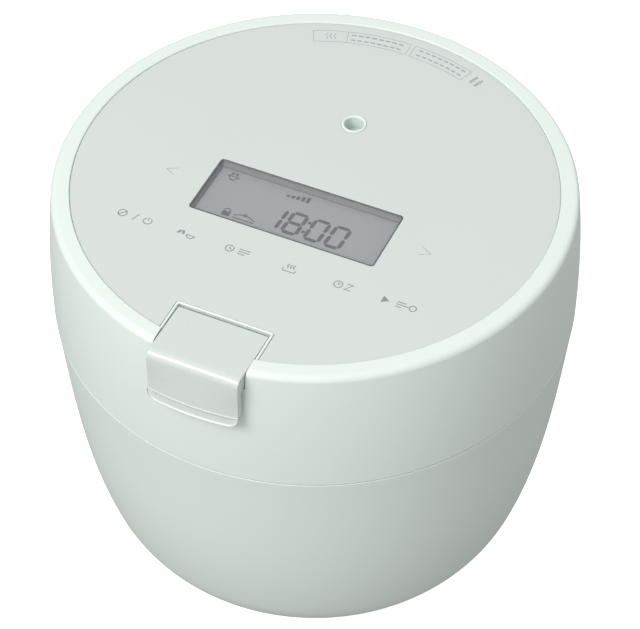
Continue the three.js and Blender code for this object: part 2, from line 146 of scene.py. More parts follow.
def noise(material, scale, detail=3.0, stretch=None):
    tree = material.node_tree
    place = tree.nodes.new("ShaderNodeTexCoord")
    source = place.outputs["Object"]
    if stretch:
        mapping = tree.nodes.new("ShaderNodeMapping")
        mapping.inputs["Scale"].default_value = stretch
        tree.links.new(source, mapping.inputs["Vector"])
        source = mapping.outputs["Vector"]
    texture = tree.nodes.new("ShaderNodeTexNoise")
    texture.inputs["Scale"].default_value = scale
    texture.inputs["Detail"].default_value = detail
    tree.links.new(source, texture.inputs["Vector"])
    return texture.outputs["Fac"]


def spread(material, fac, low, high):
    node = material.node_tree.nodes.new("ShaderNodeMapRange")
    node.inputs["From Min"].default_value = 0.3
    node.inputs["From Max"].default_value = 0.7
    node.inputs["To Min"].default_value = low
    node.inputs["To Max"].default_value = high
    material.node_tree.links.new(fac, node.inputs["Value"])
    return node.outputs["Result"]


def tint(material, fac, first, second):
    node = material.node_tree.nodes.new("ShaderNodeMix")
    node.data_type = "RGBA"
    node.inputs["A"].default_value = (*first, 1)
    node.inputs["B"].default_value = (*second, 1)
    material.node_tree.links.new(fac, node.inputs["Factor"])
    return node.outputs["Result"]


def grain(material, shader, height, depth, strength):
    node = material.node_tree.nodes.new("ShaderNodeBump")
    node.inputs["Distance"].default_value = depth
    node.inputs["Strength"].default_value = strength
    material.node_tree.links.new(height, node.inputs["Height"])
    material.node_tree.links.new(node.outputs["Normal"], shader.inputs["Normal"])


def finish(name, base, roughness, grain_scale, grain_depth, metallic=0.0, variation=0.03, stretch=None):
    """A finish with fine relief, slightly uneven gloss and a faint drift of colour."""
    material, shader = new_material(name, base, roughness, metallic)
    link = material.node_tree.links.new
    broad = noise(material, 18, 2)
    darker = tuple(c * (1 - variation) for c in base)
    lighter = tuple(min(1, c * (1 + variation)) for c in base)
    link(tint(material, spread(material, broad, 0, 1), darker, lighter), shader.inputs["Base Color"])
    fine = noise(material, grain_scale, 4, stretch)
    uneven = spread(material, fine, roughness - GLOSS_SWING, roughness + GLOSS_SWING)
    link(uneven, shader.inputs["Roughness"])
    grain(material, shader, fine, grain_depth, GRAIN_STRENGTH)
    return material


MINT = finish("mint_satin", (0.66, 0.732, 0.686), 0.38, 2600, 0.00003, variation=0.006)
FILM = finish("panel_film", (0.55, 0.592, 0.57), 0.46, 3600, 0.000012, variation=0.006)
LEVER = finish("lever_satin", (0.555, 0.60, 0.57), 0.27, 3400, 0.000006, variation=0.006)
GREY = finish("pale_grey_satin", (0.60, 0.65, 0.63), 0.45, 2200, 0.00003)
DARK = finish("dark_moulded", (0.035, 0.038, 0.042), 0.55, 1800, 0.00005, variation=0.1)
# dark grey of the window's walls, darkened further as painted shade for the shadow inside the window recess
WALL_AND_SHADE = finish("window_wall_and_painted_shade", (0.09, 0.095, 0.10), 0.5, 2200, 0.00003, variation=0.05)
FOOT = finish("foot_rubber", (0.025, 0.025, 0.026), 0.8, 1500, 0.00006, variation=0.15)
SEAL = finish("silicone", (0.52, 0.55, 0.54), 0.55, 1200, 0.00004, variation=0.03)
STEEL = finish("steel", (0.5, 0.51, 0.52), 0.4, 900, 0.00002, 1.0, stretch=(1, 1, 12))
ALU = finish("aluminium", (0.66, 0.67, 0.68), 0.42, 700, 0.00002, 1.0, stretch=(14, 1, 1))
COPPER = finish("copper_wire", (0.62, 0.27, 0.13), 0.35, 600, 0.00008, 0.9, stretch=(1, 1, 6))
FERRITE = finish("ferrite", (0.05, 0.045, 0.042), 0.7, 1400, 0.00008, variation=0.2)
BOARD = finish("solder_mask", (0.02, 0.11, 0.045), 0.4, 500, 0.00005, variation=0.25)
KEY = finish("key_plastic", (0.55, 0.58, 0.57), 0.5, 1800, 0.00004)
INK = finish("print_ink", (0.215, 0.235, 0.24), 0.5, 4000, 0.00001, variation=0.12)
SOFT_INK = finish("print_ink_light", (0.30, 0.33, 0.33), 0.5, 4000, 0.00001, variation=0.12)
SEGMENT = finish("lcd_segment", (0.05, 0.05, 0.058), 0.3, 3000, 0.00001, variation=0.08)
LCD = finish("lcd_ground", (0.243, 0.253, 0.268), 0.32, 2400, 0.00001, variation=0.02)


def pot_material():
    material, shader = new_material("pot_coating", (0.03, 0.03, 0.032), 0.38, 0.2)
    link = material.node_tree.links.new
    flecks = noise(material, 1100, 1)
    ramp = material.node_tree.nodes.new("ShaderNodeMapRange")
    ramp.inputs["From Min"].default_value = 0.66
    ramp.inputs["From Max"].default_value = 0.74
    link(flecks, ramp.inputs["Value"])
    speckled = tint(material, ramp.outputs["Result"], (0.028, 0.028, 0.03), (0.2, 0.2, 0.2))
    link(speckled, shader.inputs["Base Color"])
    fine = noise(material, 1500, 4)
    link(spread(material, fine, 0.32, 0.45), shader.inputs["Roughness"])
    grain(material, shader, fine, 0.00004, GRAIN_STRENGTH)
    return material


def window_material():
    material, shader = new_material("window_clear", (0.9, 0.93, 0.93), 0.06)
    shader.inputs["Alpha"].default_value = 0.05
    link = material.node_tree.links.new
    haze = noise(material, 60, 2)
    link(spread(material, haze, 0.05, 0.09), shader.inputs["Roughness"])
    grain(material, shader, noise(material, 300, 2), 0.000004, 0.2)
    return material


POT = pot_material()
WINDOW = window_material()


# ------------------------------------------------------------------ pieces
def smooth(mesh, angle=38):
    mesh.shade_smooth()
    mesh.set_sharp_from_angle(angle=math.radians(angle))


def even(thing):
    """Keeps flat faces flat-looking beside their rounded edges."""
    modifier = thing.modifiers.new("even", "WEIGHTED_NORMAL")
    modifier.mode = "FACE_AREA"
    modifier.keep_sharp = True
    return thing


def make_object(name, verts, faces, angle=38):
    mesh = bpy.data.meshes.new(name)
    mesh.from_pydata([(x * MM, y * MM, z * MM) for x, y, z in verts], [], faces)
    work = bmesh.new()
    work.from_mesh(mesh)
    bmesh.ops.recalc_face_normals(work, faces=work.faces)
    work.to_mesh(mesh)
    work.free()
    smooth(mesh, angle)
    thing = bpy.data.objects.new(name, mesh)
    bpy.context.scene.collection.objects.link(thing)
    return thing


def clean(mesh):
    """Leaves no slivers or zero-area triangles for the export."""
    work = bmesh.new()
    work.from_mesh(mesh)
    bmesh.ops.dissolve_degenerate(work, dist=1e-6, edges=work.edges)
    many_sided = [face for face in work.faces if len(face.verts) > 4]
    bmesh.ops.triangulate(work, faces=many_sided, quad_method="BEAUTY", ngon_method="BEAUTY")
    work.to_mesh(mesh)
    work.free()


def dress(thing, body, material, replaces=()):
    clean(thing.data)
    if "even" not in thing.modifiers:
        even(thing)
    thing.data.materials.clear()
    thing.data.materials.append(material)
    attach(thing, body)
    if replaces:
        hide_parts(*replaces)
    return thing


def lathe(name, outline, segments=ROUND, centre=(0, 0)):
    """Turns a closed (radius, height) outline about the vertical through centre."""
    verts, rings = [], []
    for r, z in outline:
        count = 1 if r < 1e-6 else segments
        rings.append([len(verts) + k for k in range(count)])
        for k in range(count):
            a = 2 * math.pi * k / segments
            verts.append((centre[0] + r * math.sin(a), centre[1] - r * math.cos(a), z))
    faces = []
    for i, ring in enumerate(rings):
        after = rings[(i + 1) % len(rings)]
        for k in range(segments):
            n = (k + 1) % segments
            quad = [ring[k % len(ring)], ring[n % len(ring)], after[n % len(after)], after[k % len(after)]]
            face = list(dict.fromkeys(quad))
            if len(face) > 2:
                faces.append(face)
    return make_object(name, verts, faces)


def plate(name, outlines, z0, z1, edge):
    """A flat plate with holes, from z0 to z1, with its edges rounded by edge."""
    data = bpy.data.curves.new(name, "CURVE")
    data.dimensions = "2D"
    data.fill_mode = "BOTH"
    data.extrude = ((z1 - z0) / 2 - edge) * MM
    data.bevel_depth = edge * MM
    data.bevel_resolution = 2
    data.offset = -edge * MM
    for outline in outlines:
        spline = data.splines.new("POLY")
        spline.points.add(len(outline) - 1)
        for point, (x, y) in zip(spline.points, outline):
            point.co = (x * MM, y * MM, 0, 1)
        spline.use_cyclic_u = True
    source = bpy.data.objects.new(name + "_outline", data)
    bpy.context.scene.collection.objects.link(source)
    mesh = bpy.data.meshes.new_from_object(source.evaluated_get(bpy.context.evaluated_depsgraph_get()))
    bpy.data.objects.remove(source)
    bpy.data.curves.remove(data)
    work = bmesh.new()
    work.from_mesh(mesh)
    bmesh.ops.translate(work, verts=work.verts, vec=(0, 0, (z0 + z1) / 2 * MM))
    bmesh.ops.remove_doubles(work, verts=work.verts, dist=1e-7)
    bmesh.ops.recalc_face_normals(work, faces=work.faces)
    work.to_mesh(mesh)
    work.free()
    mesh.name = name
    smooth(mesh)
    thing = bpy.data.objects.new(name, mesh)
    bpy.context.scene.collection.objects.link(thing)
    return even(thing)


def block(x0, x1, y0, y1, z0, z1):
    verts = [(x, y, z) for z in (z0, z1) for y in (y0, y1) for x in (x0, x1)]
    faces = [(0, 2, 3, 1), (4, 5, 7, 6), (0, 1, 5, 4), (2, 6, 7, 3), (0, 4, 6, 2), (1, 3, 7, 5)]
    return make_object("cutter", verts, faces)


def prism(outline, z0, z1):
    n = len(outline)
    verts = [(x, y, z) for z in (z0, z1) for x, y in outline]
    faces = [tuple(range(n)), tuple(range(n, 2 * n))]
    faces += [(i, (i + 1) % n, n + (i + 1) % n, n + i) for i in range(n)]
    return make_object("cutter", verts, faces)


def combine(thing, tools, operation="DIFFERENCE"):
    for tool in tools:
        modifier = thing.modifiers.new("cut", "BOOLEAN")
        modifier.operation = operation
        modifier.solver = "EXACT"
        modifier.object = tool
    mesh = bpy.data.meshes.new_from_object(thing.evaluated_get(bpy.context.evaluated_depsgraph_get()))
    mesh.name = thing.name
    thing.modifiers.clear()
    thing.data = mesh
    smooth(mesh)
    for tool in tools:
        bpy.data.objects.remove(tool)
    return thing


def soften(node, width, body, material):
    """A CAD node's shape again with its edges rounded, standing for that node."""
    work = bmesh.new()
    work.from_mesh(frame["nodes"][node].data)
    bmesh.ops.remove_doubles(work, verts=work.verts, dist=2e-6)
    bmesh.ops.dissolve_limit(
        work, angle_limit=math.radians(1.5), verts=work.verts, edges=work.edges, delimit=set()
    )
    least = math.radians(SOFT_ANGLE)
    sharp = [e for e in work.edges if len(e.link_faces) == 2 and e.calc_face_angle(0) > least]
    bmesh.ops.bevel(
        work, geom=sharp, offset=width * MM, segments=2, profile=0.5, affect="EDGES", clamp_overlap=True
    )
    mesh = bpy.data.meshes.new(node + "_soft")
    work.to_mesh(mesh)
    work.free()
    smooth(mesh, 40)
    thing = bpy.data.objects.new(mesh.name, mesh)
    bpy.context.scene.collection.objects.link(thing)
    return dress(thing, body, material, [node])


# ------------------------------------------------------------------ shells
def inset(outline, wall):
    points = []
    for i, (r, z) in enumerate(outline):
        r0, z0 = outline[max(i - 1, 0)]
        r1, z1 = outline[min(i + 1, len(outline) - 1)]
        length = math.hypot(r1 - r0, z1 - z0)
        points.append((r - wall * (z1 - z0) / length, z + wall * (r1 - r0) / length))
    return points


def lid_shell():
    side = bezier((SEAM_RADIUS, LID_EDGE), (118.4, 157), (117.6, 178), (115.3, 196.8), 40)
    side[0] = (118.12, LID_EDGE + 0.4)
    lower = arc(117.72, LID_EDGE + 0.4, 0.4, -90, -10, 4)
    top = arc(112.1, 196.8, 3.2, 0, 90, 14)[1:]
    wall = bezier((SEAM_RADIUS, LID_EDGE), (118.4, 157), (117.6, 178), (115.3, DECK_UNDER), 16)
    inner = inset(wall, LID_WALL)[::-1]
    inner[-1] = (inner[-1][0], LID_EDGE)
    rim = arc(107.5, 199.4, 0.6, 90, 180, 5)
    deck = [(106.9, DECK_TOP), (0, DECK_TOP), (0, DECK_UNDER), (112.3, DECK_UNDER)]
    shell = lathe("lid_shell_smooth", lower + side + top + rim + deck + inner[1:], SHELL_ROUND)
    swing = math.degrees(math.asin(TRAY_HALF / TRAY_FRONT))
    front = [(TRAY_FRONT * math.sin(math.radians(a)), -TRAY_FRONT * math.cos(math.radians(a)))
             for a in [swing * (1 - i / 10) for i in range(21)]]
    tray = prism([(-TRAY_HALF, -87), (TRAY_HALF, -87)] + front, TRAY_FLOOR - 2, DECK_TOP)
    combine(shell, [tray], "UNION")
    recess = rounded([
        (-RECESS_HALF, -140, 0), (RECESS_HALF, -140, 0), (RECESS_HALF, RECESS_REAR, 0.8),
        (-RECESS_HALF, RECESS_REAR, 0.8),
    ])
    cuts = [
        prism(recess, TRAY_FLOOR, 210),
        block(-7.5, 7.5, -111, -98, TRAY_FLOOR - 3, TRAY_FLOOR + 1),
        prism(box_outline(-46.8, 46.8, -39.5, 0.4, 2), 190, 205),
        prism(arc(0, VENT_Y, 5.35, 0, 354, 59), 190, 205),
        block(-24.8, 24.8, 100, 125, 130, 141.5),
    ]
    combine(shell, cuts)
    cradles = [block(x, x + 2.4, -96.5, -92.5, TRAY_FLOOR - 0.3, 195.3) for x in (-RECESS_HALF, 18.8)]
    combine(shell, cradles, "UNION")
    combine(shell, [block(-21.1, 21.1, -95.6, -93.4, 194.2, 197)])
    return dress(shell, "lid", MINT, ["lid_shell"])


def body_shell():
    foot = bezier((82.6, 3.4), (90, 3.4), (98.6, 12.7), (102.8, 27), 20)
    side = bezier((102.8, 27), (113.5, 64), (114.9, 103), (SEAM_RADIUS, BODY_EDGE), 40)[1:]
    outer = foot + side
    inner = inset(outer, BODY_WALL)[::-1]
    outer[-1] = (118.05, BODY_EDGE - 0.35)
    top = arc(117.7, BODY_EDGE - 0.35, 0.35, 20, 90, 4)
    inner[0] = (inner[0][0], BODY_EDGE)
    shell = lathe("body_shell_smooth", outer + top + inner, SHELL_ROUND)
    cuts = [
        block(-34.3, 34.3, 100, 130, 117.5, 140),
        block(-18.3, 18.3, 95, 125, 75.7, 96.3),
    ]
    combine(shell, cuts)
    return dress(shell, "base", MINT, ["body_shell"])


def top_panel():
    half, front = 22.6, -87.8
    start = math.degrees(math.asin(half / PANEL_RADIUS))
    circle = [(PANEL_RADIUS * math.sin(math.radians(a)), -PANEL_RADIUS * math.cos(math.radians(a)))
              for a in [start + (360 - 2 * start) * i / 280 for i in range(281)]]
    notch = [(-half, front - 1.2)] + arc(-half + 1.2, front - 1.2, 1.2, 180, 90, 5)[1:]
    notch += arc(half - 1.2, front - 1.2, 1.2, 90, 0, 5)
    window = box_outline(-43.7, 43.7, -36.3, -2.8, 1.7, 8)
    vent = arc(0, VENT_Y, 5.75, 0, 355, 71)
    panel = plate("top_panel_film", [circle + notch, window, vent], DECK_TOP, PANEL_TOP, 0.16)
    dress(panel, "lid", FILM, ["top_panel"])

    inner, wide, ends, rear = RECESS_HALF, 22.35, -106.5, -88.0
    bead = rounded([
        (-wide, ends, 0), (-inner, ends, 0), (-inner, RECESS_REAR, 0.8), (inner, RECESS_REAR, 0.8),
        (inner, ends, 0), (wide, ends, 0), (wide, rear, 1.0), (-wide, rear, 1.0),
    ])
    trim = plate("recess_trim", [bead], DECK_TOP, 199.45, 0.4)
    dress(trim, "lid", MINT)


def funnel(name, upper, lower, outer, z0, z1):
    """A frame between an outer outline and an opening that narrows from upper to lower."""
    n = len(upper)
    loops = [(outer, z0), (outer, z1), (upper, z1), (lower, z0 + 0.3), (lower, z0)]
    verts = [(x, y, z) for loop, z in loops for x, y in loop]
    faces = []
    for k in range(len(loops)):
        after = (k + 1) % len(loops)
        for i in range(n):
            j = (i + 1) % n
            faces.append((k * n + i, k * n + j, after * n + j, after * n + i))
    return make_object(name, verts, faces, 30)


def display():
    outer = box_outline(-46.4, 46.4, -39.1, 0.0, 2, 8)
    upper = box_outline(-43.45, 43.45, -36.05, -3.05, 1.5, 8)
    lower = box_outline(-42.2, 43.0, -35.8, -4.9, 0.5, 8)
    # the walls slope wider at the rear and left and their dark colour is partly painted shade of the window
    # recess
    walls = funnel("display_walls", upper, lower, outer, 196.3, DECK_TOP)
    dress(walls, "lid", WALL_AND_SHADE, ["display_bezel"])
    pane = box_outline(-43.5, 43.5, -36.1, -3.0, 1.5, 8)
    cover = plate("display_cover", [pane], DECK_TOP, 199.05, 0.1)
    dress(cover, "lid", WINDOW, ["display_window"])
    # a printed dark border round the window, which also serves as painted shade along the window's edge
    edges = [box_outline(-43.6 + d, 43.6 - d, -36.2 + d, -2.9 - d, 1.6 - d, 8) for d in (0, 0.5)]
    border_and_shade = plate("display_border_and_edge_shade", edges, 199.06, 199.1, 0.01)
    dress(border_and_shade, "lid", WALL_AND_SHADE)


def vent():
    outline = rounded([
        (0, 190.6, 0), (5.2, 190.6, 0), (5.2, 198.25, 0), (5.65, 198.25, 0), (5.65, 199.75, 0.55),
        (4.35, 199.75, 0.7), (4.35, 192.1, 0.9), (0, 192.1, 0),
    ], 6)
    cup = lathe("vent_cup_smooth", outline, FINE, (0, VENT_Y))
    combine(cup, [prism(arc(0, VENT_DRAIN_Y, 1.4, 0, 350, 35), 185, 193)])
    dress(cup, "lid", MINT, ["vent_cup"])


# ------------------------------------------------------------------ latch lever
def subdivide(outline, longest):
    points = []
    for (x0, y0), (x1, y1) in zip(outline, outline[1:] + outline[:1]):
        steps = max(1, math.ceil(math.hypot(x1 - x0, y1 - y0) / longest))
        points += [(x0 + (x1 - x0) * i / steps, y0 + (y1 - y0) * i / steps) for i in range(steps)]
    return points


def shrink(loop, amount):
    points = []
    for i, (x, y) in enumerate(loop):
        before, after = Vector(loop[i - 1]), Vector(loop[(i + 1) % len(loop)])
        along = (after - before).normalized()
        points.append((x - along.y * amount, y + along.x * amount))
    return points


def lever():
    """A section pushed across the recess, with its front on a curve and its lip lifted at both ends."""
    half, edge, corner, front, steps = 20.85, 0.45, 4.8, 122, 56
    section = rounded([
        (-90.1, 197.3, 0.5), (-90.1, 198.65, 0.55), (-119.5, 199.75, 3.6), (-121.95, 178.9, 0.9),
        (-122.4, 178.5, 0.5), (-121.85, 177.3, 1.0), (-122.3, 174.4, 1.2), (-123.2, 173.6, 0.45),
        (-122.6, 172.8, 0.5), (-119.6, 174.2, 1.5), (-118.3, 178.9, 2.0), (-117.0, 190.6, 1.0),
        (-115.2, 191.6, 1.0), (-112.0, 192.6, 1.5), (-110.4, 197.3, 1.0),
    ], 7)
    section = subdivide(section, 1.4)
    area = sum(a[0] * b[1] - b[0] * a[1] for a, b in zip(section, section[1:] + section[:1]))
    if area < 0:
        section.reverse()
    ends = [(half - edge + edge * math.sin(a), edge * (1 - math.cos(a)))
            for a in [math.radians(t) for t in (0, 18, 36, 54, 72, 90)]]
    inside = [(half - edge) * (-1 + 2 * i / steps) for i in range(1, steps)]
    stations = [(-x, s) for x, s in reversed(ends)] + [(x, 0) for x in inside] + ends
    verts, faces = [], []
    count = len(section)
    for x, less in stations:
        loop = shrink(section, less)
        sag = front - math.sqrt(front ** 2 - x * x)
        over = min(corner, max(0, abs(x) - (half - corner)))
        lift = corner - math.sqrt(corner ** 2 - over * over)
        for y, z in loop:
            bow = min(1, max(0, (197 - z) / 18))
            low = min(1, max(0, (178.7 - z) / 5.5))
            verts.append((x, y + sag * bow * bow * (3 - 2 * bow), z + lift * low))
    for s in range(len(stations) - 1):
        for i in range(count):
            a, b = s * count + i, s * count + (i + 1) % count
            faces.append((a, b, b + count, a + count))
    faces += [tuple(range(count)), tuple(range(len(verts) - count, len(verts)))]
    swept = make_object("lever_smooth", verts, faces, 45)
    dress(swept, "lever", LEVER, ["latch_lever"])
    tongue = block(-6, 6, -103.5, -101, 183, 197.6)
    combine(tongue, [block(x, x + 3, -97, -92, 193.3, 197.6) for x in (-17, 14)], "UNION")
    tongue.name = "lever_lugs"
    dress(tongue, "lever", LEVER)


# ------------------------------------------------------------------ print on the panel and the display
def ribbon(points, width, closed=False):
    """Corner points of a flat stroke along points, as (left, right) pairs."""
    pairs = []
    n = len(points)
    for i in range(n):
        before = Vector(points[i - 1] if (closed or i) else points[0])
        after = Vector(points[(i + 1) % n] if (closed or i < n - 1) else points[-1])
        here = Vector(points[i])
        first = (here - before).normalized() if (here - before).length else (after - here).normalized()
        second = (after - here).normalized() if (after - here).length else first
        normal = Vector((-(first + second).y, (first + second).x)).normalized()
        stretch = 1 / max(0.5, normal.dot(Vector((-first.y, first.x))))
        offset = normal * width / 2 * stretch
        pairs.append((tuple(here + offset), tuple(here - offset)))
    return pairs


def mark(name, strokes, fills, width, level, material, at=(0, 0), size=1.0):
    """One printed sign on the lid, made of strokes and filled shapes lying on level."""
    verts, faces = [], []

    def put(p):
        return (at[0] + p[0] * size, at[1] + p[1] * size)

    def solid(loop):
        """A flat piece with the outline loop."""
        base, n = len(verts), len(loop)
        for above in PRINT_LEVELS:
            verts.extend((*p, level + above) for p in loop)
        faces.append(tuple(base + i for i in range(n)))
        faces.append(tuple(base + n + i for i in range(n)))
        faces.extend((base + i, base + (i + 1) % n, base + n + (i + 1) % n, base + n + i) for i in range(n))

    def strip(pairs, closed):
        """A flat bar along pairs of corners, with no walls inside it."""
        base, n = len(verts), len(pairs)
        for above in PRINT_LEVELS:
            verts.extend((*p, level + above) for pair in pairs for p in pair)
        for i in range(n if closed else n - 1):
            left, next_left = base + 2 * i, base + 2 * ((i + 1) % n)
            under = (left, next_left, next_left + 1, left + 1)
            faces.append(under)
            faces.append(tuple(p + 2 * n for p in under))
            for p, q in (under[:2], under[2:]):
                faces.append((p, q, q + 2 * n, p + 2 * n))
        if not closed:
            for p in (base, base + 2 * (n - 1)):
                faces.append((p, p + 1, p + 1 + 2 * n, p + 2 * n))

    for points, closed in strokes:
        strip(ribbon([put(p) for p in points], width, closed), closed)
    for loop in fills:
        solid([put(p) for p in loop])
    return dress(make_object(name, verts, faces), "lid", material)


def line(*points):
    """An open stroke."""
    return (list(points), False)


def ring(x, y, radius, start=0, end=360):
    """A stroke round a circle or along a part of it."""
    if end - start < 360:
        return (arc(x, y, radius, start, end, RING_STEPS), False)
    return (arc(x, y, radius, start, end - 360 / RING_STEPS, RING_STEPS - 1), True)


def grain_shape(x, y, tilt):
    """The outline of a rice grain, tilted by degrees."""
    loop = []
    t = math.radians(tilt)
    for a in range(0, 360, 30):
        u, v = 0.55 * math.cos(math.radians(a)), 1.15 * math.sin(math.radians(a))
        loop.append((x + u * math.cos(t) - v * math.sin(t), y + u * math.sin(t) + v * math.cos(t)))
    return loop


def key_signs():
    wave = [line(*[(x + 0.35 * math.sin(t * 2.2), -0.2 + t * 0.55) for t in range(5)])
            for x in (-1.2, 0, 1.2)]
    cancel = [ring(-5.4, 0, 1.7), line((-6.6, -1.2), (-4.2, 1.2)), line((-0.6, -1.8), (0.8, 1.8)),
              ring(5.2, -0.1, 1.6, 125, 415), line((5.2, 0.2), (5.2, 1.9))]
    bowl = [ring(1.9, -0.3, 1.5, 180, 360), line((0.2, -0.3), (3.6, -0.3))]
    history = [ring(-3.4, 0, 1.6, 60, 400), line((-3.4, 0.9), (-3.4, 0), (-2.6, -0.4)),
               line((0.2, 1.2), (4.6, 1.2)), line((0.2, 0), (4.6, 0)), line((0.2, -1.2), (3.2, -1.2))]
    warm = wave + [line((-2.6, -0.7), (-2.2, -1.9), (2.2, -1.9), (2.6, -0.7))]
    later = [ring(-2.0, 0, 1.65), line((-2.0, 1.0), (-2.0, 0), (-1.2, 0)),
             line((1.0, 1.5), (3.4, 1.5), (1.0, -1.5), (3.4, -1.5))]
    start = [line((-0.2, 1.1), (3.2, 1.1)), line((-0.2, -0.1), (4.4, -0.1)), line((-0.2, -1.3), (2.2, -1.3)),
             ring(6.2, 0, 1.3)]
    grains = [grain_shape(-2.9, 0.1, -25), grain_shape(-1.3, 0.3, 20)]
    arrow = [[(-5.8, -1.7), (-5.8, 1.7), (-3.0, 0)]]
    signs = [(cancel, []), (bowl, grains), (history, []), (warm, []), (later, []), (start, arrow)]
    for i, (strokes, fills) in enumerate(signs):
        place = (KEY_XS[i], KEY_Y)
        mark(f"key_sign_{i + 1}", strokes, fills, 0.46, PANEL_TOP, INK, place, size=1.15)
    for side, name in ((-1, "back"), (1, "forward")):
        chevron = line((-side * 2.25, 2.4), (side * 2.25, 0), (-side * 2.25, -2.4))
        place = (side * ARROW_X, ARROW_Y)
        mark("arrow_" + name, [chevron], [], 0.28, PANEL_TOP, SOFT_INK, place)


def rear_signs():
    def polar(radius, angle):
        a = math.radians(angle)
        return (radius * math.sin(a), radius * math.cos(a))

    def band(inner, outer, start, end):
        turns = [start + (end - start) * i / 24 for i in range(25)]
        return ([polar(outer, t) for t in turns] + [polar(inner, t) for t in reversed(turns)], True)

    def dash(radius, start, end):
        return line(*[polar(radius, start + (end - start) * i / 6) for i in range(7)])

    frames = [band(94.4, 102.0, -25.2, 1.1), line(polar(94.4, -15.9), polar(102.0, -15.9)),
              band(94.3, 101.9, 2.4, 19.7)]
    mark("rear_frames", frames, [], 0.26, PANEL_TOP, SOFT_INK)
    left = (-14.9, -13.1, -11.2, -9.4, -7.5, -5.7, -3.8, -2.0)
    right = (3.9, 5.8, 7.7, 9.6, 11.5, 13.4, 15.3, 17.2)
    dashes = [dash(radius, a, a + 1.3) for radius in (99.9, 96.6) for a in left + right]
    mark("rear_dashes", dashes, [], 0.85, PANEL_TOP, SOFT_INK)
    steam = [line(*[polar(96.2 + 1.1 * t, -20.5 + shift + 0.32 * math.sin(t * 2.1)) for t in range(5)])
             for shift in (-1.1, 0, 1.1)]
    mark("rear_steam", steam, [], 0.3, PANEL_TOP, SOFT_INK)
    coil = [line(*[polar(96 + 5.2 * t / 8, angle + 0.8 * (t % 2)) for t in range(9)])
            for angle in (21.8, 23.6)]
    mark("rear_coil", coil, [], 0.4, PANEL_TOP, INK)


SEGMENTS = {"0": "abcdef", "1": "bc", "8": "abcdefg"}


def digit_segments(x, y, name):
    """The lit bars of a seven-bar digit whose middle is at (x, y), leaning a little to the right."""
    w, h, t, gap, lean = 3.25, 6.15, 0.875, 0.16, 0.06
    bars = {
        "a": ((-w, h), (w, h)), "g": ((-w, 0), (w, 0)), "d": ((-w, -h), (w, -h)),
        "b": ((w, h), (w, 0)), "c": ((w, 0), (w, -h)), "f": ((-w, h), (-w, 0)), "e": ((-w, 0), (-w, -h)),
    }
    loops = []
    for key in SEGMENTS[name]:
        start, end = (Vector(point) for point in bars[key])
        along = (end - start).normalized()
        across = Vector((-along.y, along.x)) * t
        start, end = start + along * gap, end - along * gap
        loop = [start, start + along * t + across, end - along * t + across, end,
                end - along * t - across, start + along * t - across]
        loops.append([(x + p.x + lean * p.y, y + p.y) for p in loop])
    return loops


def lcd_signs():
    time = []
    for x, name in ((-8.0, "1"), (1.45, "8"), (12.0, "0"), (21.6, "0")):
        time += digit_segments(x, -23.95, name)
    for x, y in ((7.16, -20.9), (6.7, -27.0)):
        time.append(box_outline(x - 0.75, x + 0.75, y - 0.75, y + 0.75, 0.3, 2))
    mark("lcd_time", [], time, 0.3, LCD_TOP, SEGMENT)
    bowl = [ring(-35.2, -8.6, 2.0, 180, 360), line((-38.2, -8.6), (-32.2, -8.6))]
    grains = [grain_shape(-36.3, -7.1, -25), grain_shape(-34.2, -7.1, 25)]
    stand = box_outline(-36, -34.4, -11.2, -10.8, 0.1, 2)
    mark("lcd_bowl", bowl, grains + [stand], 0.45, LCD_TOP, SEGMENT)
    steps = [box_outline(-9.2 + 2.3 * i, -7.6 + 2.3 * i, -10.2, -8.9 + 0.5 * i, 0.15, 2) for i in range(5)]
    mark("lcd_level", [], steps, 0.4, LCD_TOP, SEGMENT)
    lock = [ring(-28.4, -28.6, 1.2, 0, 180), line((-29.6, -28.6), (-29.6, -29.4)),
            line((-27.2, -28.6), (-27.2, -29.4))]
    lid = [line((-25, -31.4), (-15, -31.4)), line((-25, -30.2), (-22, -28.8), (-18, -28.8), (-15, -30.2)),
           ring(-20, -28.3, 0.6)]
    block_of_lock = box_outline(-30.3, -26.5, -31.9, -29.3, 0.3, 2)
    mark("lcd_lock", lock + lid, [block_of_lock], 0.5, LCD_TOP, SEGMENT)


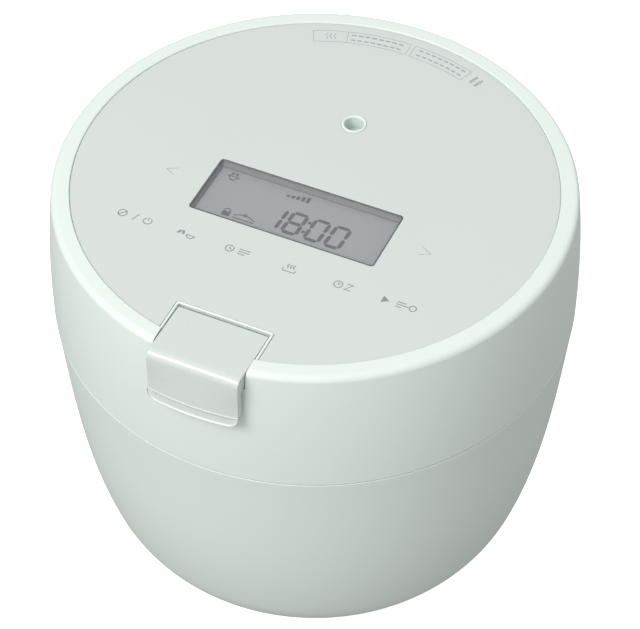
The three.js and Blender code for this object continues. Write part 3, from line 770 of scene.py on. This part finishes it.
# ------------------------------------------------------------------ inside of the lid, pot and frame
def inside():
    pot = rounded([
        (0, 39, 0), (92, 39, 30), (92, 130, 0.6), (97.6, 130, 0.5), (97.6, 131.4, 0.5), (90.2, 131.4, 0.9),
        (90.2, 40.8, 28.2), (0, 40.8, 0),
    ], 10)
    dress(lathe("pot_smooth", pot), "base", POT, ["inner_pot"])
    ring_frame = rounded([
        (95.7, 126.5, 0.3), (100.6, 126.5, 0), (100.6, 132.8, 0.5), (114.5, 132.8, 0.3), (114.5, 135.3, 0.6),
        (98.5, 135.3, 1.0), (98.5, 129.0, 0), (95.7, 129.0, 0.3),
    ], 5)
    seat = lathe("frame_smooth", ring_frame)
    cuts = [prism(box_outline(-8, 8, -112.5, -101.2, 1), 130, 140), block(-34.4, 34.4, 109, 120, 120, 140)]
    dress(combine(seat, cuts), "base", MINT, ["upper_frame"])

    cover = lathe("cover_smooth", rounded([
        (0, 138, 0), (100, 138, 0.5), (101.2, 136.4, 0.6), (115.3, 136.4, 0.8), (115.3, 140, 0), (0, 140, 0),
    ], 5))
    cuts = [
        prism(arc(0, VENT_Y, 11.4, 0, 355, 71), 130, 145),
        prism(arc(-45, -30, 4.3, 0, 350, 35), 130, 145),
        prism(box_outline(-6.2, 6.2, -111.5, -100, 1), 130, 145),
        block(-24.8, 24.8, 109.5, 125, 130, 145),
    ]
    combine(cover, cuts)
    lugs = [block(x, x + 2, -108.5, -102.5, 139, 158) for x in (-8.5, 6.5)]
    dress(combine(cover, lugs, "UNION"), "lid", GREY, ["lid_inner_cover"])

    plate_outline = rounded([
        (0, 135.2, 0), (60, 135.2, 3), (64, 135.75, 3), (92.5, 135.2, 0.3),
        (92.5, 136.2, 0.4), (66, 136.7, 3), (60, 136.2, 3), (0, 136.2, 0),
    ], 4)
    sheet = lathe("inner_lid_smooth", plate_outline)
    holes = [prism(arc(x, y, 1.2, 0, 345, 23), 130, 139) for x, y in arc(0, VENT_Y, 4.5, 0, 315, 7)]
    dress(combine(sheet, holes), "lid", ALU, ["inner_lid_plate"])
    seal = rounded([
        (93.4, 131.9, 0.5), (96.6, 131.9, 0.6), (97.2, 133.2, 0.8), (96.6, 134.6, 0.5), (97.2, 136, 0.5),
        (97.2, 138, 0), (92.8, 138, 0), (92.8, 132.9, 0.8),
    ], 4)
    dress(lathe("seal_smooth", seal), "lid", SEAL, ["inner_lid_gasket"])


def underneath():
    foot = rounded([(0, 0, 0), (6.6, 0, 0.9), (7, 3.4, 0), (0, 3.4, 0)], 5)
    for i, (x, y) in enumerate([(-50, -50), (50, -50), (-50, 50), (50, 50)]):
        pad = lathe(f"foot_smooth_{i + 1}", foot, FINE, (x, y))
        dress(pad, "base", FOOT, [f"foot_{i + 1}"])


def back():
    soften("hinge_housing", 0.5, "base", MINT)
    soften("hinge_arm", 0.35, "lid", STEEL)
    soften("power_inlet", 0.4, "base", DARK)
    spring = frame["nodes"]["sensor_spring"]
    coil = bpy.data.objects.new("sensor_coil", spring.data.copy())
    bpy.context.scene.collection.objects.link(coil)
    dress(coil, "base", STEEL, ["sensor_spring"])
    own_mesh(coil)


def carried_over():
    looks = {
        "mint_plastic": MINT, "panel_film": FILM, "pale_grey_plastic": GREY, "key_plastic": KEY,
        "foot_rubber": FOOT, "dark_plastic": DARK, "window_clear": WINDOW, "lcd_glass": LCD,
        "seal_rubber": SEAL, "steel": STEEL, "pot_coating": POT, "aluminium": ALU,
        "copper_wire": COPPER, "ferrite": FERRITE, "circuit_board": BOARD,
    }
    slots = {part["node"]: part["material_slot"] for part in frame["record"]["subparts"]}
    for name, thing in frame["nodes"].items():
        thing.data.materials.clear()
        thing.data.materials.append(looks[slots[name]])


# ------------------------------------------------------------------ stage
def stage():
    camera = bpy.data.objects.new("camera", bpy.data.cameras.new("camera"))
    camera.data.sensor_width = 36
    camera.data.lens = 140.58
    camera.data.shift_x = 0.00774
    camera.data.shift_y = -0.09876
    camera.data.clip_end = 20
    camera.location = (0.32875, -0.71269, 0.9545)
    aim = Vector((0, 0, 0.1566)) - camera.location
    camera.rotation_mode = "QUATERNION"
    camera.rotation_quaternion = aim.to_track_quat("-Z", "Y")
    bpy.context.scene.collection.objects.link(camera)
    bpy.context.scene.camera = camera

    size = 12
    mesh = bpy.data.meshes.new("floor")
    corners = [(-size, -size, 0), (size, -size, 0), (size, size, 0), (-size, size, 0)]
    mesh.from_pydata(corners, [], [(0, 1, 2, 3)])
    floor = bpy.data.objects.new("floor", mesh)
    bpy.context.scene.collection.objects.link(floor)
    pale, shader = new_material("floor_white", (0.9, 0.9, 0.9), 0.9)
    shader.inputs["Emission Color"].default_value = (1, 1, 1, 1)
    shader.inputs["Emission Strength"].default_value = 0.75
    mesh.materials.append(pale)
    floor.visible_diffuse = False
    floor.visible_glossy = False

    world = bpy.data.worlds.new("studio")
    world.use_nodes = True
    tree = world.node_tree
    sky = tree.nodes["Background"]
    place = tree.nodes.new("ShaderNodeTexCoord")
    slope = tree.nodes.new("ShaderNodeVectorMath")
    slope.operation = "DOT_PRODUCT"
    slope.inputs[1].default_value = (-0.03, -0.03, 0.28)
    level = tree.nodes.new("ShaderNodeMath")
    level.operation = "ADD"
    level.inputs[1].default_value = 0.57
    tree.links.new(place.outputs["Generated"], slope.inputs[0])
    tree.links.new(slope.outputs["Value"], level.inputs[0])
    tree.links.new(level.outputs["Value"], sky.inputs["Strength"])
    sky.inputs["Color"].default_value = (1, 1, 1, 1)
    bpy.context.scene.world = world
    bpy.context.scene.view_settings.view_transform = "Standard"

    # the world's light grows slightly towards the upper left front; the lamps give it a direction
    for name, place, width, energy in (
        ("key", (-0.5, -1.35, 1.6), 0.9, 26),
        ("fill", (0.5, -1.9, 0.7), 1.0, 4),
        ("back", (0.5, 1.9, 0.9), 1.4, 9),
    ):
        light = bpy.data.lights.new(name, "AREA")
        light.shape = "SQUARE"
        light.size = width
        light.energy = energy
        lamp = bpy.data.objects.new(name, light)
        lamp.location = place
        lamp.rotation_mode = "QUATERNION"
        lamp.rotation_quaternion = (Vector((0, 0, 0.12)) - Vector(place)).to_track_quat("-Z", "Y")
        bpy.context.scene.collection.objects.link(lamp)


stage()
carried_over()
lid_shell()
body_shell()
top_panel()
display()
vent()
lever()
key_signs()
rear_signs()
lcd_signs()
inside()
underneath()
back()
